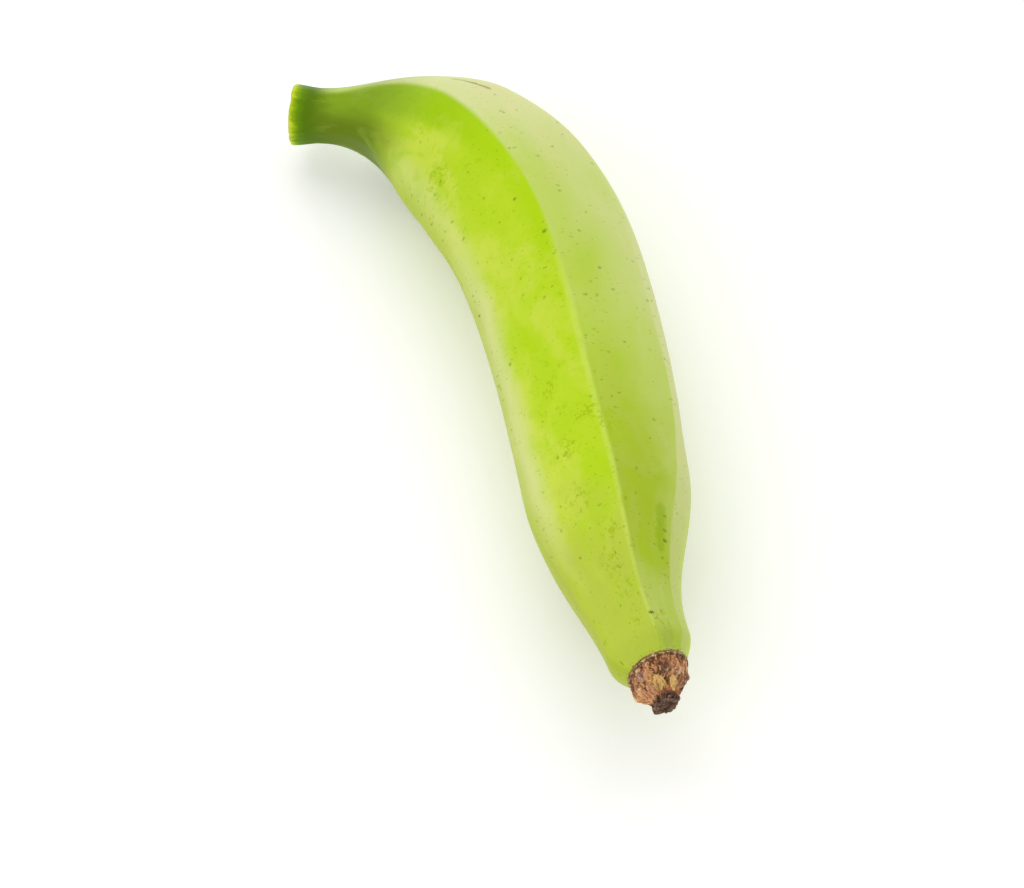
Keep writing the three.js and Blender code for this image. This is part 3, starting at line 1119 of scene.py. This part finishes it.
def blossom_finish():
    """Dried tissue: a frayed tan edge, a dark furrow, salmon folds, painted shade in the hollows of its
    relief, a painted highlight on its crests, and a dark stub.
    """
    board = Finish("dried_blossom")
    dry = board.mark("dry")
    depth = board.level("depth")
    height = board.level("relief")
    patches = board.noise(dry, 0.32, 2.0, 0.5, 0.6)
    threads = board.noise(board.scaled(dry, (1.1, 1.1, 0.6)), 0.9, 3.0, 0.6, 0.9)
    crumbs = board.noise(dry, 2.4, 3.0, 0.6)
    ragged = board.noise(dry, 0.9, 3.0, 0.7)

    reach = BLOSSOM_REACH + 1
    wander = (patches - 0.5) * 2.4 * board.smooth(depth, 0.3, 2) + (ragged - 0.5) * 1.6
    colour = board.ramp(board.limited((depth + wander + 1) / reach), BLOSSOM_STOPS)
    shaken = board.vector("ADD", dry, board.combine(threads * 3, ragged * 4, patches * 3))
    shaken = board.vector("SUBTRACT", shaken, (1.5, 2.0, 1.5))
    for middle, size, strength, tone in BLOSSOM_TONES:
        away = board.node("ShaderNodeVectorMath", {"operation": "DISTANCE"}, {0: shaken, 1: middle})
        near = board.smooth(Amount(board, away.outputs["Value"]), size * 0.5, size * 1.1, 1, 0)
        colour = board.mix(near * strength, colour, tone)
    stub = board.smooth(depth, 7, 8.5)
    notched = board.smooth(ragged, 0.48, 0.56) * board.smooth(depth, 0.6, 0.3)
    outside = board.smooth(depth + (ragged - 0.5) * 0.8, -0.3, -0.5)
    level = height + (crumbs - 0.5) * 0.3
    colour = board.layered(colour, [
        (board.smooth(threads, 0.52, 0.64) * (1 - stub * 0.6), 0.6, THREAD_LIGHT),
        (board.smooth(threads, 0.47, 0.36), 0.65, THREAD_DARK),
        (board.limited(notched + outside), 0.85, EDGE_BROWN),
        # Painted shade in the hollows of the relief, and a painted highlight on its crests.
        (board.smooth(level, -0.1, -0.5), 0.8, FURROW_SHADE),
        (board.smooth(level, 0.1, 0.45) * board.smooth(depth, 6.5, 5.5), 0.6, CREST_HIGHLIGHT),
    ])

    wrinkles = board.bump(threads, 0.6, 0.0006)
    grit = board.bump(crumbs, 0.4, 0.0003, wrinkles)
    roughness = 0.72 + (crumbs - 0.5) * 0.3
    return board.done(colour, roughness, grit, Specular_IOR_Level=0.3)


SCALE_STOPS = [
    (0.0, seen(84, 48, 38)),
    (0.35, seen(150, 94, 66)),
    (0.6, seen(196, 140, 100)),
    (0.8, seen(222, 176, 108)),
    (1.0, seen(226, 192, 112)),
]
SCALE_VEIN = seen(120, 78, 34)
SCALE_CRUMB = seen(140, 92, 52)
SCALE_EDGE = seen(132, 84, 48)


def scale_finish():
    """Dry scales: light straw where they face up, as bleaching and painted light, and tan or brown
    elsewhere.
    """
    board = Finish("dry_scales")
    bleached = board.level("bleached")
    place = board.mark("blade")
    veins = board.noise(board.scaled(place, (2, 2, 0.6)), 0.9, 3.0, 0.6, 0.6)
    crumbs = board.noise(place, 2.0, 2.0, 0.6)
    from_middle = board.maths("ABSOLUTE", board.separate(place)[0])
    colour = board.ramp(board.limited(bleached + (veins - 0.5) * 1.2), SCALE_STOPS)
    colour = board.layered(colour, [
        (board.smooth(veins, 0.46, 0.36), 0.6, SCALE_VEIN),
        (board.smooth(crumbs, 0.58, 0.72), 0.4, SCALE_CRUMB),
        (board.smooth(from_middle, 0.7, 1.2), 0.5, SCALE_EDGE),
    ])
    relief = board.bump(veins, 0.6, 0.0003)
    return board.done(colour, 0.7 + (crumbs - 0.5) * 0.3, relief, Specular_IOR_Level=0.3)


# The cut face, from its middle to its rim: (place, colour).
FLESH_STOPS = [
    (0.0, seen(206, 206, 150)),
    (0.45, seen(222, 222, 168)),
    (0.78, seen(206, 214, 128)),
    (0.92, seen(176, 198, 74)),
    (1.0, seen(150, 184, 40)),
]
PORE_GREEN = seen(150, 148, 80)
SAP_STAIN = seen(168, 140, 84)


def cut_finish():
    """Fresh stem tissue: pale flesh, greener by the rim, browning a little."""
    board = Finish("cut_stem_flesh")
    face = board.mark("face")
    across = board.level("across")
    clouds = board.noise(face, 0.5, 3.0, 0.6)
    pores = board.noise(face, 2.6, 2.0, 0.6)
    flesh = board.ramp(across + (clouds - 0.5) * 0.12, FLESH_STOPS)
    colour = board.layered(flesh, [
        (board.smooth(pores, 0.56, 0.68), 0.5, PORE_GREEN),
        (board.smooth(clouds, 0.56, 0.74), 0.4, SAP_STAIN),
    ])
    relief = board.bump(clouds + pores * 0.5, 0.4, 0.0004)
    return board.done(colour, 0.4 + (clouds - 0.5) * 0.3, relief, Specular_IOR_Level=0.5)


FIBRE_WET = seen(196, 196, 120)
FIBRE_BROWN = seen(140, 120, 62)


def fibre_finish():
    """Ends of the stem's fibres: wet, darker than the flesh, brown where the sap has dried."""
    board = Finish("fibre_ends")
    place = board.node("ShaderNodeTexCoord").outputs["Object"]
    sap = board.noise(place, 420.0, 2.0, 0.6)
    colour = board.mix(board.smooth(sap, 0.4, 0.62), FIBRE_WET, FIBRE_BROWN)
    relief = board.bump(sap, 0.3, 0.0001)
    return board.done(colour, 0.35 + (sap - 0.5) * 0.3, relief, Specular_IOR_Level=0.5)


FLOOR_WHITE = (0.93, 0.93, 0.92, 1)
FLOOR_DUST = (0.88, 0.88, 0.87, 1)
FLOOR_GLOW = (1, 0.98, 1, 1)


def floor_finish():
    """Nearly white paper, a little uneven."""
    board = Finish("studio_floor")
    place = board.node("ShaderNodeTexCoord").outputs["Object"]
    dust = board.noise(place, 40.0, 2.0)
    colour = board.mix(dust * 0.04, FLOOR_WHITE, FLOOR_DUST)
    return board.done(
        colour, 0.8, None, Specular_IOR_Level=0.1, Emission_Color=FLOOR_GLOW, Emission_Strength=0.12,
    )


# ------------------------------
# The plantain
# ------------------------------

middle_line = drawn_line("middle_line", [tuple(Vector(p) + Vector(CENTRING)) for p in MIDDLE], "NURBS")
blossom_profile = drawn_line("blossom_profile", [(d, r, 0) for d, r in BLOSSOM], "BEZIER")

peel = grow("peel", peel_rule(peel_finish()), {
    "Middle Line": middle_line,
    "Columns": PEEL_COLUMNS,
    "Rows": PEEL_ROWS,
    "Ridge Crispness": RIDGE_CRISPNESS,
    "Seed": 0.0,
})
blossom = grow("blossom_end", blossom_rule(blossom_finish()), {
    "Middle Line": middle_line,
    "Profile": blossom_profile,
    "Columns": BLOSSOM_COLUMNS,
    "Rows": BLOSSOM_ROWS,
    "Seed": 4.0,
})
scales = grow("dry_scales", scales_rule(scale_finish()), {
    "Middle Line": middle_line,
    "Length": SCALE_LENGTH,
    "Width": SCALE_WIDTH,
    "Crumple": SCALE_CRUMPLE,
})
cut_face = grow("stem_cut", cut_rule(cut_finish()), {
    "Middle Line": middle_line,
    "Columns": CUT_COLUMNS,
    "Rows": CUT_ROWS,
    "Ridge Crispness": RIDGE_CRISPNESS,
    "Seed": 2.0,
})
fibre_ends = grow("fibre_ends", fibre_rule(fibre_finish()), {
    "Middle Line": middle_line,
    "Fibres": FIBRES,
    "Radius": FIBRE_RADIUS,
    "Ridge Crispness": RIDGE_CRISPNESS,
    "Seed": 2.0,
})
for helper in (middle_line, blossom_profile):
    bpy.data.objects.remove(helper)

for piece in (peel, blossom, scales, cut_face, fibre_ends):
    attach(piece, "root")
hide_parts("plantain")


# ------------------------------
# Studio
# ------------------------------

VIEW_FROM = Vector((0.3592, -0.1531, 0.5890))
VIEW_RIGHT = Vector((0.4572, 0.8867, -0.0687))
VIEW_UP = Vector((-0.7379, 0.4214, 0.5272))
LENS = 85
SENSOR_WIDTH = 36
NEAREST_SEEN = 0.01

FLOOR_HALF = 4.0
DAYLIGHT = 0.78

# Soft boxes that face the fruit: (name, place, side, power).
SOFT_BOXES = [
    ("key_light", (-0.7, 0.45, 1.1), 1.8, 8),
    ("fill_light", (0.1, -1.1, 0.7), 1.0, 3),
]


def studio_floor():
    mesh = bpy.data.meshes.new("studio_floor")
    corners = [(x * FLOOR_HALF, y * FLOOR_HALF, 0) for x, y in ((-1, -1), (1, -1), (1, 1), (-1, 1))]
    mesh.from_pydata(corners, [], [(0, 1, 2, 3)])
    mesh.materials.append(floor_finish())
    floor = bpy.data.objects.new("studio_floor", mesh)
    bpy.context.scene.collection.objects.link(floor)


def soft_box(name, place, side, power):
    lamp = bpy.data.lights.new(name, "AREA")
    lamp.shape = "SQUARE"
    lamp.size = side
    lamp.energy = power
    box = bpy.data.objects.new(name, lamp)
    box.location = place
    box.rotation_euler = (-Vector(place)).to_track_quat("-Z", "Y").to_euler()
    bpy.context.scene.collection.objects.link(box)


def studio_camera():
    right = VIEW_RIGHT.normalized()
    back = right.cross(VIEW_UP).normalized()
    up = back.cross(right)
    data = bpy.data.cameras.new("camera")
    data.lens = LENS
    data.sensor_width = SENSOR_WIDTH
    data.clip_start = NEAREST_SEEN
    camera = bpy.data.objects.new("camera", data)
    turn = Matrix((right, up, back)).transposed()
    camera.matrix_world = Matrix.Translation(VIEW_FROM) @ turn.to_4x4()
    bpy.context.scene.collection.objects.link(camera)
    bpy.context.scene.camera = camera


def daylight():
    world = bpy.data.worlds.new("studio_light")
    world.use_nodes = True
    background = world.node_tree.nodes["Background"]
    background.inputs["Color"].default_value = (1, 1, 1, 1)
    background.inputs["Strength"].default_value = DAYLIGHT
    bpy.context.scene.world = world
    bpy.context.scene.view_settings.view_transform = "Standard"


studio_floor()
daylight()
for soft_box_sizes in SOFT_BOXES:
    soft_box(*soft_box_sizes)
studio_camera()
